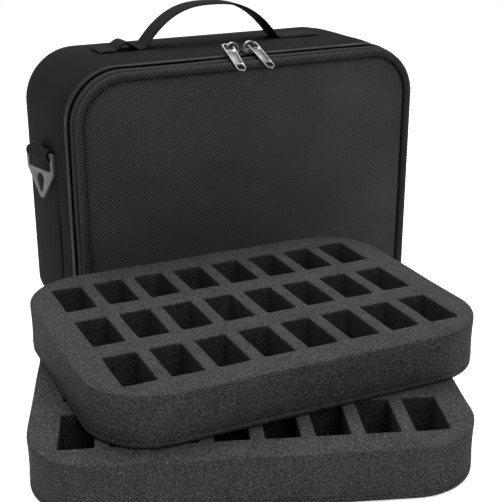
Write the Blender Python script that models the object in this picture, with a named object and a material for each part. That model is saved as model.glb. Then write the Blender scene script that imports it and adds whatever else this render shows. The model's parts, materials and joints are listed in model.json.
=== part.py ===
"""Miniature carry case: a zipped fabric case standing upright, with two 24-pocket foam trays
standing in front of it, one on the other.

Metres, +Z up. The origin is the middle of the case's underside. The case's front faces -Y.
Depths are given as the distance behind the case's front edge, and insets as the distance inside
the outline that the case's body has when seen from the front.
"""

from math import asin, cos, pi, radians, sin

import bmesh
import bpy
from mathutils import Euler, Matrix, Vector

# ---- driving dimensions --------------------------------------------------------------------

GAP = 0.0003                  # left between pieces that touch

CASE_W = 0.366                # body outline, seen from the front
CASE_H = 0.266
CASE_D = 0.150                # front binding to rear binding
CORNER_R = 0.052              # upper corners
BOTTOM_R = 0.030              # lower corners
WALL = 0.004                  # padded fabric wall
ARC_STEPS = 8                 # segments in a quarter-turn of the outline

BINDING_R = 0.0042            # corded edge binding
FRONT_INSET = 0.0025          # the front edge is a little smaller than the body
PANEL_FRONT = 0.0022          # depth of the lid panel's face
PANEL_T = 0.004
BAND_FRONT = 0.0088           # lid band, from the binding to the zipper tape
BAND_BACK = 0.0150
BAND_T = 0.0026
ZIP_DEPTH = 0.0230            # where the two rows of teeth meet
TEETH_W = 0.0034              # one row of teeth, across the zipper
TEETH_T = 0.0024
TAPE_W = 0.0040
TAPE_T = 0.0009
ZIP_END_Z = 0.0155            # the zipper stops here, low on both sides
HINGE_WALL_END_Z = 0.0145
PAD_T = 0.0080                # loose foam sheets inside the lid and against the back

SLIDER_X = {"left": -0.0156, "right": 0.0027}      # closed
CROWN_X = {"left": -0.0200, "right": 0.0056}       # each crown stands near its slider's outer end
SLIDER_L = 0.0150
SLIDER_W = 0.0105
SLIDER_T = 0.0036
CROWN_L = 0.0030              # crown, along the zipper
CROWN_HALF_W = 0.0045
CROWN_WINDOW_HALF_W = 0.0027
CROWN_H = 0.0126              # top of the crown above the case's top
WINDOW_LOW = 0.0052
WINDOW_HIGH = 0.0106
PULL_AXIS_H = 0.0090          # pull's hinge axis above the case's top
PULL_L = 0.0400
PULL_T = 0.0016
PULL_TILT = radians(26)       # the pull leans on the front binding
PULL_SKEW = {"left": radians(-3), "right": radians(5)}

HANDLE_DEPTH = 0.0900         # centre line of the handle, behind the front edge
WEB_W = 0.0250
WEB_T = 0.0026
HANDLE_MID_X = -0.0080        # the handle sits a little left of the middle
HANDLE_HALF_SPAN = 0.0750
HANDLE_RISE = 0.0410
HANDLE_ROUNDNESS = 2.6        # power in the arch's curve
HANDLE_HINGE_H = 0.0130       # where the webbing bends when the handle tilts
HANDLE_STEPS = 28
NECK_W = 0.0080
LEFT_SEWN = (-0.1280, -0.0870)   # flat sewn ends of the handle, in x
RIGHT_SEWN = (0.0710, 0.1140)

STRAP_DEPTH = 0.0780          # centre line of the side webbing
SIDE_STRIP_W = 0.0500
SIDE_STRIP_T = 0.0014
SIDE_STRIP_TOP = 0.1560
SIDE_STRIP_LOW = 0.0260
RING_BAR_Z = 0.1800           # ring's top bar
RING_STANDOFF = 0.0086        # bar's middle, out from the side
RING_TWIST = radians(13)
RING_W = 0.0480
RING_H = 0.0470
RING_T = 0.0030
LOOP_W = 0.0370

TRAY_W = 0.340
TRAY_D = 0.247
TRAY_R = 0.055
TRAY_BASE_T = 0.005
TRAY_FOAM_T = 0.0377
POCKET_COLUMNS = 8
POCKET_ROWS = 3
POCKET_W = 0.0265
POCKET_D = 0.0508
COLUMN_PITCH = 0.0378
ROW_PITCH = 0.0726
LOWER_TRAY = (-0.1090, -0.2588, radians(-21.6))   # x, y, turn about Z
UPPER_TRAY = (-0.0815, -0.2137, radians(-2.4))

# ---- sizes that follow ---------------------------------------------------------------------

HALF_W = CASE_W / 2
BINDING_INSET = FRONT_INSET + BINDING_R
PANEL_INSET = BINDING_INSET + BINDING_R + GAP
LID_AXIS = (0, BINDING_R - CASE_D / 2, BINDING_INSET)
FRONT_TEETH = (ZIP_DEPTH - GAP / 2 - TEETH_W, ZIP_DEPTH - GAP / 2)
REAR_TEETH = (ZIP_DEPTH + GAP / 2, ZIP_DEPTH + GAP / 2 + TEETH_W)
FRONT_TAPE = (BAND_BACK + GAP, FRONT_TEETH[0] - GAP)
REAR_TAPE = (REAR_TEETH[1] + GAP, REAR_TEETH[1] + GAP + TAPE_W)
GUSSET_FRONT = REAR_TAPE[1] + GAP
REAR_BINDING_DEPTH = CASE_D - BINDING_R
BACK_PANEL = (CASE_D - 0.0062, CASE_D - 0.0022)
GUSSET_BACK = CASE_D - 2 * BINDING_R - GAP
BACK_PAD = (BACK_PANEL[0] - GAP - PAD_T, BACK_PANEL[0] - GAP)
LID_PAD = (PANEL_FRONT + PANEL_T + GAP, PANEL_FRONT + PANEL_T + GAP + PAD_T)


def depth(distance_behind_front):
    """Y of a point this far behind the case's front edge."""
    return distance_behind_front - CASE_D / 2


# ---- materials -----------------------------------------------------------------------------

def material(name, colour, roughness, metallic=0.0):
    made = bpy.data.materials.get(name)
    if made is None:
        made = bpy.data.materials.new(name)
        made.use_nodes = True
        shader = made.node_tree.nodes["Principled BSDF"]
        shader.inputs["Base Color"].default_value = (*colour, 1)
        shader.inputs["Roughness"].default_value = roughness
        shader.inputs["Metallic"].default_value = metallic
    return made


def panel_cloth():
    return material("panel_cloth", (0.030, 0.030, 0.032), 0.75)


def gusset_cloth():
    return material("gusset_cloth", (0.018, 0.018, 0.020), 0.70)


def binding_cloth():
    return material("binding_cloth", (0.022, 0.022, 0.024), 0.80)


def webbing():
    return material("webbing", (0.016, 0.016, 0.018), 0.80)


def zipper_nylon():
    return material("zipper_nylon", (0.028, 0.028, 0.030), 0.45)


def nickel():
    return material("nickel", (0.42, 0.42, 0.44), 0.28, 1.0)


def ring_plastic():
    return material("ring_plastic", (0.11, 0.11, 0.115), 0.50)


def tray_foam():
    return material("tray_foam", (0.055, 0.056, 0.058), 0.95)


# ---- mesh building -------------------------------------------------------------------------

def add_object(name, mesh, finish):
    piece = bpy.data.objects.new(name, mesh)
    piece.data.materials.append(finish)
    bpy.context.collection.objects.link(piece)
    return piece


def finish_mesh(name, bm, finish, smooth_angle=35):
    """Turn a bmesh into a named object with its faces pointing out."""
    bmesh.ops.recalc_face_normals(bm, faces=bm.faces)
    mesh = bpy.data.meshes.new(name)
    bm.to_mesh(mesh)
    bm.free()
    mesh.shade_smooth()
    mesh.set_sharp_from_angle(angle=radians(smooth_angle))
    return add_object(name, mesh, finish)


def mesh_from_sections(name, sections, finish, closed=False):
    """Join equal rings of points into one solid, closed on itself or capped at both ends."""
    bm = bmesh.new()
    rings = [[bm.verts.new(point) for point in section] for section in sections]
    pairs = list(zip(rings, rings[1:]))
    if closed:
        pairs.append((rings[-1], rings[0]))
    for first, second in pairs:
        for i in range(len(first)):
            j = (i + 1) % len(first)
            bm.faces.new((first[i], first[j], second[j], second[i]))
    if not closed:
        bm.faces.new(rings[0])
        bm.faces.new(rings[-1])
    return finish_mesh(name, bm, finish)


def prism(name, outline, low, high, finish, across="Y"):
    """Extrude a flat outline. Its points are (x, z) along Y, or (x, y) along Z."""
    def place(a, b, level):
        return (a, level, b) if across == "Y" else (a, b, level)

    sections = [[place(a, b, level) for a, b in outline] for level in (low, high)]
    return mesh_from_sections(name, sections, finish)


def arc(centre, radius, start, end, steps):
    """Points on an arc, angles in radians."""
    return [
        (centre[0] + radius * cos(start + (end - start) * i / steps),
         centre[1] + radius * sin(start + (end - start) * i / steps))
        for i in range(steps + 1)
    ]


def rounded_rectangle(left, right, low, high, radius, steps=ARC_STEPS):
    """Corner by corner, anticlockwise from the lower right."""
    corners = (
        (right - radius, low + radius, -pi / 2),
        (right - radius, high - radius, 0),
        (left + radius, high - radius, pi / 2),
        (left + radius, low + radius, pi),
    )
    points = []
    for x, z, start in corners:
        points += arc((x, z), radius, start, start + pi / 2, steps)
    return points


def edge_corner(right, top, start, end, steps=ARC_STEPS):
    """Points on one corner of the outline: its centre and radius, and the direction outwards."""
    radius = CORNER_R if top else BOTTOM_R
    x = HALF_W - radius if right else radius - HALF_W
    z = CASE_H - radius if top else radius
    return [(x, z, radius, start + (end - start) * i / steps) for i in range(steps + 1)]


def closed_edge():
    return [
        *edge_corner(True, False, -pi / 2, 0), *edge_corner(True, True, 0, pi / 2),
        *edge_corner(False, True, pi / 2, pi), *edge_corner(False, False, pi, 3 * pi / 2),
    ]


def side_angle(height):
    """Direction, from the lower right corner's centre, of its point at this height."""
    return -asin((BOTTOM_R - height) / BOTTOM_R)


def zipper_edge():
    """From low on the right side, over the top, to low on the left side."""
    start = side_angle(ZIP_END_Z)
    return [
        *edge_corner(True, False, start, 0, ARC_STEPS // 2), *edge_corner(True, True, 0, pi / 2),
        *edge_corner(False, True, pi / 2, pi),
        *edge_corner(False, False, pi, pi - start, ARC_STEPS // 2),
    ]


def bottom_edge():
    """From low on the left side, under the case, to low on the right side."""
    end = side_angle(HINGE_WALL_END_Z)
    return [
        *edge_corner(False, False, pi - end, 3 * pi / 2, ARC_STEPS // 2),
        *edge_corner(True, False, -pi / 2, end, ARC_STEPS // 2),
    ]


def case_outline(inset):
    """The case's outline seen from the front, drawn in by inset."""
    return [(x + (radius - inset) * cos(angle), z + (radius - inset) * sin(angle))
            for x, z, radius, angle in closed_edge()]


def sweep(name, edge, profile, finish, closed=False):
    """Carry a profile of (inset, depth) points round the case's edge."""
    sections = []
    for x, z, radius, angle in edge:
        sections.append([
            (x + (radius - inset) * cos(angle), depth(behind), z + (radius - inset) * sin(angle))
            for inset, behind in profile
        ])
    return mesh_from_sections(name, sections, finish, closed)


def strip_profile(inset, thickness, front, back):
    return [(inset, front), (inset + thickness, front), (inset + thickness, back), (inset, back)]


def round_profile(inset, behind, radius, sides=8):
    return [
        (inset + radius * cos(2 * pi * i / sides), behind + radius * sin(2 * pi * i / sides))
        for i in range(sides)
    ]


def as_cutter(piece):
    piece.hide_render = True
    piece.display_type = "WIRE"
    return piece


def combine(piece, other, operation):
    modifier = piece.modifiers.new(other.name, "BOOLEAN")
    modifier.operation = operation
    modifier.object = other
    modifier.solver = "EXACT"


# ---- the case's body -----------------------------------------------------------------------

def build_body():
    sweep("body_gusset", closed_edge(), strip_profile(0, WALL, GUSSET_FRONT, GUSSET_BACK),
          gusset_cloth(), closed=True)
    sweep("hinge_gusset", bottom_edge(),
          strip_profile(0, WALL, BAND_FRONT, GUSSET_FRONT - GAP), gusset_cloth())
    prism("back_panel", case_outline(PANEL_INSET - FRONT_INSET), *map(depth, BACK_PANEL), gusset_cloth())
    sweep("rear_binding", closed_edge(), round_profile(BINDING_R, REAR_BINDING_DEPTH, BINDING_R),
          binding_cloth(), closed=True)
    prism("back_foam_pad", case_outline(PANEL_INSET), *map(depth, BACK_PAD), tray_foam())
    sweep("zipper_tape_rear", zipper_edge(), strip_profile(0.0016, TAPE_T, *REAR_TAPE), webbing())
    sweep("zipper_teeth_rear", zipper_edge(), strip_profile(0.0002, TEETH_T, *REAR_TEETH),
          zipper_nylon())


def build_lid():
    band = [(0.0020, BAND_FRONT), (0.0020 + BAND_T, BAND_FRONT),
            (0.0012 + BAND_T, BAND_BACK), (0.0012, BAND_BACK)]
    return [
        prism("lid_panel", case_outline(PANEL_INSET), depth(PANEL_FRONT),
              depth(PANEL_FRONT + PANEL_T), panel_cloth()),
        sweep("front_binding", closed_edge(), round_profile(BINDING_INSET, BINDING_R, BINDING_R),
              binding_cloth(), closed=True),
        sweep("lid_band", zipper_edge(), band, gusset_cloth()),
        sweep("zipper_tape_front", zipper_edge(), strip_profile(0.0016, TAPE_T, *FRONT_TAPE),
              webbing()),
        sweep("zipper_teeth_front", zipper_edge(), strip_profile(0.0002, TEETH_T, *FRONT_TEETH),
              zipper_nylon()),
        prism("lid_foam_pad", case_outline(PANEL_INSET + 0.002), *map(depth, LID_PAD), tray_foam()),
    ]


def hang_on_lid_axis(pieces):
    """Parent what moves with the lid to an empty on the lid's hinge axis, left where it stands."""
    hinge = bpy.data.objects.new("lid_hinge_axis", None)
    hinge.location = LID_AXIS
    bpy.context.collection.objects.link(hinge)
    for piece in pieces:
        piece.parent = hinge
        piece.matrix_parent_inverse = Matrix.Translation(LID_AXIS).inverted()


# ---- zipper sliders and pulls --------------------------------------------------------------

def build_slider(side):
    """A slider body that rides on the teeth, with a crown standing across the zipper."""
    x, crown_x = SLIDER_X[side], CROWN_X[side]
    low = CASE_H + GAP
    nose = SLIDER_W * 0.30
    half_l, half_w = SLIDER_L / 2, SLIDER_W / 2
    plan = [(half_l, nose), (half_l - 0.003, half_w), (-half_l + 0.004, half_w), (-half_l, nose),
            (-half_l, -nose), (-half_l + 0.004, -half_w), (half_l - 0.003, -half_w), (half_l, -nose)]
    middle = (x, depth(ZIP_DEPTH))
    plan = [(middle[0] + a, middle[1] + b) for a, b in plan]
    slider = prism(f"slider_{side}", plan, low, low + SLIDER_T, nickel(), across="Z")
    outer = crown_arch(CROWN_HALF_W, low + SLIDER_T / 2, CASE_H + CROWN_H)
    window = crown_arch(CROWN_WINDOW_HALF_W, CASE_H + WINDOW_LOW, CASE_H + WINDOW_HIGH)
    crown = as_cutter(crown_prism(f"crown_{side}", crown_x, outer, CROWN_L / 2))
    opening = as_cutter(crown_prism(f"crown_window_{side}", crown_x, window, CROWN_L))
    combine(slider, crown, "UNION")
    combine(slider, opening, "DIFFERENCE")
    return slider


def crown_arch(half_width, low, high):
    """(y, z) outline of a round-topped arch across the zipper."""
    middle = depth(ZIP_DEPTH)
    top = arc((middle, high - half_width), half_width, 0, pi, 8)
    return [(middle + half_width, low), *top, (middle - half_width, low)]


def crown_prism(name, x, outline, half_length):
    sections = [[(x + step, y, z) for y, z in outline] for step in (-half_length, half_length)]
    return mesh_from_sections(name, sections, nickel())


def pull_outline():
    """(x, y) outline of a pull that lies flat, hinge bar at the origin, tip towards -Y."""
    eye = arc((0, -0.0042), 0.0062, radians(-20), radians(200), 10)
    eye = [(x, min(y, 0.0013)) for x, y in eye]
    tip = arc((0, -PULL_L + 0.0045), 0.0045, pi, 2 * pi, 8)
    return [*eye, (-0.0056, -0.0110), *tip, (0.0056, -0.0110)]


def build_pull(side):
    """A flat tapered tab with an eye round the crown's window and a hole at its tip."""
    pull = prism(f"pull_{side}", pull_outline(), -PULL_T / 2, PULL_T / 2, nickel(), across="Z")
    around_crown = rounded_rectangle(-0.0038, 0.0038, -0.0078, -0.0010, 0.0012, 3)
    at_tip = rounded_rectangle(-0.0030, 0.0030, -0.0378, -0.0312, 0.0014, 3)
    eye, hole = (
        as_cutter(prism(f"pull_{part}_{side}", outline, -PULL_T, PULL_T, nickel(), across="Z"))
        for part, outline in (("eye", around_crown), ("hole", at_tip))
    )
    for cutter in (eye, hole):
        combine(pull, cutter, "DIFFERENCE")
    place = Matrix.Translation((CROWN_X[side], depth(ZIP_DEPTH), CASE_H + PULL_AXIS_H))
    turn = Matrix.Rotation(PULL_SKEW[side], 4, "Z") @ Matrix.Rotation(PULL_TILT, 4, "X")
    for piece in (pull, eye, hole):
        piece.matrix_world = place @ turn
    return pull


# ---- handle --------------------------------------------------------------------------------

def handle_point(turn):
    """Middle of the webbing on the arch, from -pi/2 at the left foot to pi/2 at the right; x is
    from the handle's middle."""
    across = sin(turn)
    return HANDLE_HALF_SPAN * across, CASE_H + HANDLE_RISE * (1 - abs(across) ** HANDLE_ROUNDNESS)


def handle_reach(height):
    """Half the width between the arch's legs, at this height above the case's top."""
    return HANDLE_HALF_SPAN * (1 - height / HANDLE_RISE) ** (1 / HANDLE_ROUNDNESS)


def build_handle():
    """The arch of webbing above the bend. Its origin is on the line that it tilts about."""
    end = asin(handle_reach(HANDLE_HINGE_H) / HANDLE_HALF_SPAN)
    middle_y = depth(HANDLE_DEPTH)
    hinge_z = CASE_H + HANDLE_HINGE_H
    sections = []
    for i in range(HANDLE_STEPS + 1):
        turn = end * (2 * i / HANDLE_STEPS - 1)
        x, z = handle_point(turn)
        ahead, behind = Vector(handle_point(turn + 0.01)), Vector(handle_point(turn - 0.01))
        along = (ahead - behind).normalized()
        out = Vector((along.y, -along.x)) * WEB_T / 2
        sections.append([
            (x + out.x * side, edge * WEB_W / 2, z - hinge_z + out.y * side)
            for side, edge in ((1, -1), (1, 1), (-1, 1), (-1, -1))
        ])
    handle = mesh_from_sections("handle_webbing", sections, webbing())
    handle.location = (HANDLE_MID_X, middle_y, hinge_z)
    return handle


def build_handle_root(side, span):
    """The flat end of the webbing sewn to the case's top, with the narrow fold that rises from it
    to just outside the arch's foot."""
    direction = -1 if side == "left" else 1
    inner = span[1] if side == "left" else span[0]
    outer = span[0] if side == "left" else span[1]
    low, top = CASE_H + GAP, CASE_H + GAP + WEB_T
    neck_top = CASE_H + HANDLE_HINGE_H - 0.0012
    foot = HANDLE_HALF_SPAN - WEB_T
    lean = foot - handle_reach(HANDLE_HINGE_H) - WEB_T / 2 - GAP
    profile = [(outer, low), (outer, top), (inner, top)]
    profile += [(HANDLE_MID_X + direction * x, z) for x, z in (
        (foot + WEB_T, top + 0.001), (foot + WEB_T - lean, neck_top), (foot - lean, neck_top),
        (foot, low))]
    middle_y = depth(HANDLE_DEPTH)
    bm = bmesh.new()
    rings = []
    for edge in (-1, 1):
        ring = []
        for x, z in profile:
            half = NECK_W / 2 if z > top + 0.0005 else WEB_W / 2
            ring.append(bm.verts.new((x, middle_y + edge * half, z)))
        rings.append(ring)
    for i in range(len(profile)):
        j = (i + 1) % len(profile)
        bm.faces.new((rings[0][i], rings[0][j], rings[1][j], rings[1][i]))
    for ring in rings:
        bmesh.ops.triangle_fill(bm, edges=list({e for v in ring for e in v.link_edges
                                                if e.other_vert(v) in ring}), use_beauty=True)
    return finish_mesh(f"handle_root_{side}", bm, webbing(), 25)


# ---- shoulder strap rings ------------------------------------------------------------------

def ring_frame(sign):
    """Where a strap ring hangs. Local x runs along its top bar and local -Y faces outwards."""
    place = Vector((sign * (HALF_W + RING_STANDOFF), depth(STRAP_DEPTH), RING_BAR_Z))
    turn = Euler((0, 0, sign * (pi / 2 - RING_TWIST))).to_matrix().to_4x4()
    return Matrix.Translation(place) @ turn


def build_strap_ring(side, sign):
    """A flat triangular ring: a bar and a slot for the webbing, and a hole for a strap's hook."""
    half, low = RING_W / 2, 0.0022 - RING_H
    outline = [(half - 0.003, 0.0022), (half, -0.0005), (half, -0.0185)]
    outline += arc((0, low + 0.0050), 0.0052, radians(-30), radians(-150), 6)
    outline += [(-half, -0.0185), (-half, -0.0005), (-half + 0.003, 0.0022)]
    ring = prism(f"strap_ring_{side}", outline, -RING_T / 2, RING_T / 2, ring_plastic())
    slot = prism(f"ring_slot_{side}", rounded_rectangle(-0.0194, 0.0194, -0.0155, -0.0022, 0.0010, 2),
                 -RING_T, RING_T, ring_plastic())
    hole = prism(f"ring_hole_{side}", hook_hole(), -RING_T, RING_T, ring_plastic())
    frame = ring_frame(sign)
    ring.matrix_world = frame
    for cutter in (slot, hole):
        as_cutter(cutter).matrix_world = frame
        combine(ring, cutter, "DIFFERENCE")
    return ring


def hook_hole():
    """Egg-shaped hole, wide at the top."""
    return arc((0, -0.0262), 0.0062, 0, pi, 8) + arc((0, -0.0350), 0.0034, pi, 2 * pi, 6)


def build_strap_loop(side, sign):
    """Folded webbing that holds the ring's bar, sewn to the side behind it."""
    frame = ring_frame(sign)
    back_x = sign * (HALF_W + GAP)
    sections = []
    outer = [(-0.0044, 0.0030), (-0.0024, 0.0046), (0.0024, 0.0046), (0.0040, 0.0030),
             (0.0040, -0.0040), (0.0040, -0.0090), (0.0022, -0.0105), (-0.0022, -0.0105),
             (-0.0044, -0.0090), (-0.0044, -0.0040)]
    inner = [(-0.0031, 0.0020), (-0.0019, 0.0031), (0.0019, 0.0031), (0.0031, 0.0020),
             (0.0031, -0.0010), (0.0031, -0.0020), (0.0019, -0.0031), (-0.0019, -0.0031),
             (-0.0031, -0.0020), (-0.0031, -0.0010)]
    bm = bmesh.new()
    for along in (-LOOP_W / 2, LOOP_W / 2):
        ring = []
        for out, up in outer:
            point = frame @ Vector((along, out, up))
            if out > 0.003:
                point.x = back_x
            ring.append(bm.verts.new(point))
        hole = [bm.verts.new(frame @ Vector((along, out, up))) for out, up in inner]
        sections.append((ring, hole))
    (ring_a, hole_a), (ring_b, hole_b) = sections
    for i in range(len(outer)):
        j = (i + 1) % len(outer)
        bm.faces.new((ring_a[i], ring_a[j], ring_b[j], ring_b[i]))
        bm.faces.new((hole_a[i], hole_b[i], hole_b[j], hole_a[j]))
        bm.faces.new((ring_a[i], hole_a[i], hole_a[j], ring_a[j]))
        bm.faces.new((ring_b[i], ring_b[j], hole_b[j], hole_b[i]))
    return finish_mesh(f"strap_loop_{side}", bm, webbing())


def build_side_strip(side, sign):
    """Wide webbing sewn down the side, from behind the ring to the lower corner."""
    inset = -SIDE_STRIP_T - GAP
    half = SIDE_STRIP_W / 2
    radius = BOTTOM_R - inset
    low_angle = -asin((BOTTOM_R - SIDE_STRIP_LOW) / radius)
    path = [(HALF_W - inset, SIDE_STRIP_TOP, 0.0)]
    for i in range(5):
        angle = low_angle * i / 4
        path.append((HALF_W - BOTTOM_R + radius * cos(angle), BOTTOM_R + radius * sin(angle), angle))
    sections = []
    for x, z, angle in path:
        inner = Vector((x - SIDE_STRIP_T * cos(angle), z - SIDE_STRIP_T * sin(angle)))
        sections.append([
            (sign * px, depth(STRAP_DEPTH) + edge * half, pz)
            for px, pz, edge in ((x, z, -1), (x, z, 1), (inner.x, inner.y, 1), (inner.x, inner.y, -1))
        ])
    return mesh_from_sections(f"side_strip_{side}", sections, webbing())


# ---- foam trays ----------------------------------------------------------------------------

def pocket_centres():
    for row in range(POCKET_ROWS):
        for column in range(POCKET_COLUMNS):
            yield ((column - (POCKET_COLUMNS - 1) / 2) * COLUMN_PITCH,
                   (row - (POCKET_ROWS - 1) / 2) * ROW_PITCH)


def build_tray(level, place, floor):
    """A thick foam sheet with 24 pockets cut through it, glued to a thin foam base."""
    outline = rounded_rectangle(-TRAY_W / 2, TRAY_W / 2, -TRAY_D / 2, TRAY_D / 2, TRAY_R)
    base = prism(f"{level}_tray_base", outline, floor, floor + TRAY_BASE_T, tray_foam(), across="Z")
    foam_low = floor + TRAY_BASE_T + GAP
    foam_high = foam_low + TRAY_FOAM_T
    foam = prism(f"{level}_tray_pockets", outline, foam_low, foam_high, tray_foam(), across="Z")
    punch = pocket_punch(f"{level}_pocket_punch", foam_low - 0.002, foam_high + 0.002)
    combine(foam, punch, "DIFFERENCE")
    x, y, turn = place
    for piece in (base, foam, punch):
        piece.location = (x, y, 0)
        piece.rotation_euler = (0, 0, turn)
    return foam_high


def pocket_punch(name, low, high):
    bm = bmesh.new()
    size = Matrix.Diagonal((POCKET_W, POCKET_D, high - low, 1))
    for x, y in pocket_centres():
        bmesh.ops.create_cube(bm, size=1, matrix=Matrix.Translation((x, y, (low + high) / 2)) @ size)
    mesh = bpy.data.meshes.new(name)
    bm.to_mesh(mesh)
    bm.free()
    return as_cutter(add_object(name, mesh, tray_foam()))


# ---- build ---------------------------------------------------------------------------------

def main():
    for old in list(bpy.data.objects):
        bpy.data.objects.remove(old)
    build_body()
    lid = build_lid()
    for side in ("left", "right"):
        lid += [build_slider(side), build_pull(side)]
    hang_on_lid_axis(lid)
    build_handle()
    build_handle_root("left", LEFT_SEWN)
    build_handle_root("right", RIGHT_SEWN)
    for side, sign in (("left", -1), ("right", 1)):
        build_strap_ring(side, sign)
        build_strap_loop(side, sign)
        build_side_strip(side, sign)
    lower_top = build_tray("lower", LOWER_TRAY, 0)
    build_tray("upper", UPPER_TRAY, lower_top + GAP)


main()
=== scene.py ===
"""The looks of the miniature carry case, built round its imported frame.

Metres, +Z up; the case's front faces -Y. Depths are distances behind the case's front edge.
Soft pieces are built as swept or layered meshes whose UV maps are in metres, so that weave, ribs
and stitches keep their real size. Each one replaces the plain solid that holds its place.
"""

import json
from math import asin, atan2, ceil, cos, floor, hypot, pi, radians, sin

import bmesh
import bpy
from mathutils import Matrix, Vector, noise

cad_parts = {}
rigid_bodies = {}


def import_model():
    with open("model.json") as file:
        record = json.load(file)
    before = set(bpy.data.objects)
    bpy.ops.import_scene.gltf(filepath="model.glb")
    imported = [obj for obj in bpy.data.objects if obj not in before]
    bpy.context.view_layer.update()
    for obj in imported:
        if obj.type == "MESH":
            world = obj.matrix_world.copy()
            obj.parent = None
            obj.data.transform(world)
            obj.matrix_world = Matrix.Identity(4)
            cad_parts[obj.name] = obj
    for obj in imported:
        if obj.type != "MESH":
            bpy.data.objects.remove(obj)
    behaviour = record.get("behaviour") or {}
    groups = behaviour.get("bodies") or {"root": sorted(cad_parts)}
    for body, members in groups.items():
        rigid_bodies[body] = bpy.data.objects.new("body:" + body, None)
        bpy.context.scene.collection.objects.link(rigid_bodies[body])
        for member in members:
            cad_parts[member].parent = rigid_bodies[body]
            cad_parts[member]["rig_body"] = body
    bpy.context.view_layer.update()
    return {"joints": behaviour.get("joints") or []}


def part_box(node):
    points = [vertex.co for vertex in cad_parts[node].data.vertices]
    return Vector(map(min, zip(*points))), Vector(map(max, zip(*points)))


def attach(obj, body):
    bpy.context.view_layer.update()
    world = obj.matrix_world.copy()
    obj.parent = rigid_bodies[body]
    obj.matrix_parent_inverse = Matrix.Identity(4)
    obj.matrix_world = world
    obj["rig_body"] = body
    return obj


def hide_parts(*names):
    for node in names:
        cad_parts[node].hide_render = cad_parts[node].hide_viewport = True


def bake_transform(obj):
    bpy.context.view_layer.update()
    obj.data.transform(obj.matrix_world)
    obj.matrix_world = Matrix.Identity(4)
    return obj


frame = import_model()

# ---- places taken from the frame -----------------------------------------------------------

CASE_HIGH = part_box("body_gusset")[1]
FRONT_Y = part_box("front_binding")[0].y
CASE_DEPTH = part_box("rear_binding")[1].y - FRONT_Y
HALF_W = CASE_HIGH.x
CASE_H = CASE_HIGH.z
CORNER_R = 0.052                  # the outline's upper corners, seen from the front
BOTTOM_R = 0.030                  # and its lower ones
OUTLINE_LENGTH = 4 * HALF_W + 2 * CASE_H - (4 - pi) * (CORNER_R + BOTTOM_R)
HANDLE_LOW, HANDLE_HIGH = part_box("handle_webbing")
HANDLE_Y = (HANDLE_LOW.y + HANDLE_HIGH.y) / 2
JOINTS = {joint["name"]: joint for joint in frame["joints"]}

# ---- sizes of the visible details ----------------------------------------------------------

WALL_STEP = 0.006                 # spacing of the sections of soft walls round the case
PLATE_STEP = 0.009                # and of the points round the panels
WALL_T = 0.0036
LID_WALL_T = 0.0026
BODY_WALL = (0.0312, CASE_DEPTH - 0.0088)     # depths of the front and back edges
HINGE_WALL = (0.0090, 0.0308)
LID_WALL = (0.0080, 0.0152)
PANEL_BACK = 0.0078               # depth of the panels' inner faces
PAD_BACK = 0.0140                 # and of the loose foam sheets'
BACK_GROWTH = 0.0025              # the back panel reaches this much nearer the outline
BINDING_R = 0.0039
BINDING_DEPTH = 0.0042            # centre of the corded binding, in from the front or back
FRONT_BINDING_INSET = 0.0067      # and in from the outline
BINDING_SIDES = 30
RIB_PITCH = OUTLINE_LENGTH / round(OUTLINE_LENGTH / 0.0029)
RIB_LEAN = 5                      # ribs passed in one turn round the cord
CORE_SHARE = 0.94                 # the cord's radius without its ribs
RIB_SHARE = 0.06
ZIP_DEPTH = 0.0230
ZIP_END_Z = 0.0155
TOOTH_PITCH = 0.0017
SLIDER_TOP = CASE_H + 0.0042
PULL_LENGTH = 0.0400
PULL_T = 0.0018
PULL_TILT = radians(26)           # the pulls lean on the front binding
HANDLE_MID_X = (HANDLE_LOW.x + HANDLE_HIGH.x) / 2
HANDLE_HALF_SPAN = 0.0750
HANDLE_RISE = 0.0410
HANDLE_ROUNDNESS = 2.6
WEB_W = 0.0250
WEB_T = 0.0024
RING_HALF_W = 0.0240
RING_T = 0.0030
RING_FOOT = -0.0448               # the ring's lowest point, from its bar
LOOP_W = 0.0370                   # webbing folded over the ring's bar
LOOP_T = 0.0013
TRAY_W, TRAY_D, TRAY_R = 0.340, 0.247, 0.055
POCKET_W, POCKET_D, POCKET_R = 0.0265, 0.0508, 0.0012
POCKET_ROWS, POCKET_COLUMNS = 3, 8
COLUMN_PITCH, ROW_PITCH = 0.0378, 0.0726
LOWER_TRAY = (-0.1090, -0.2588, radians(-21.6))   # x, y, turn about Z
UPPER_TRAY = (-0.0815, -0.2137, radians(-2.4))
FOAM_STEP = 0.006
THROUGH = 0.01                    # reach of cutters that pass right through a thin plate


def depth_y(depth):
    return FRONT_Y + depth


# ---- procedural materials ------------------------------------------------------------------

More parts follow.
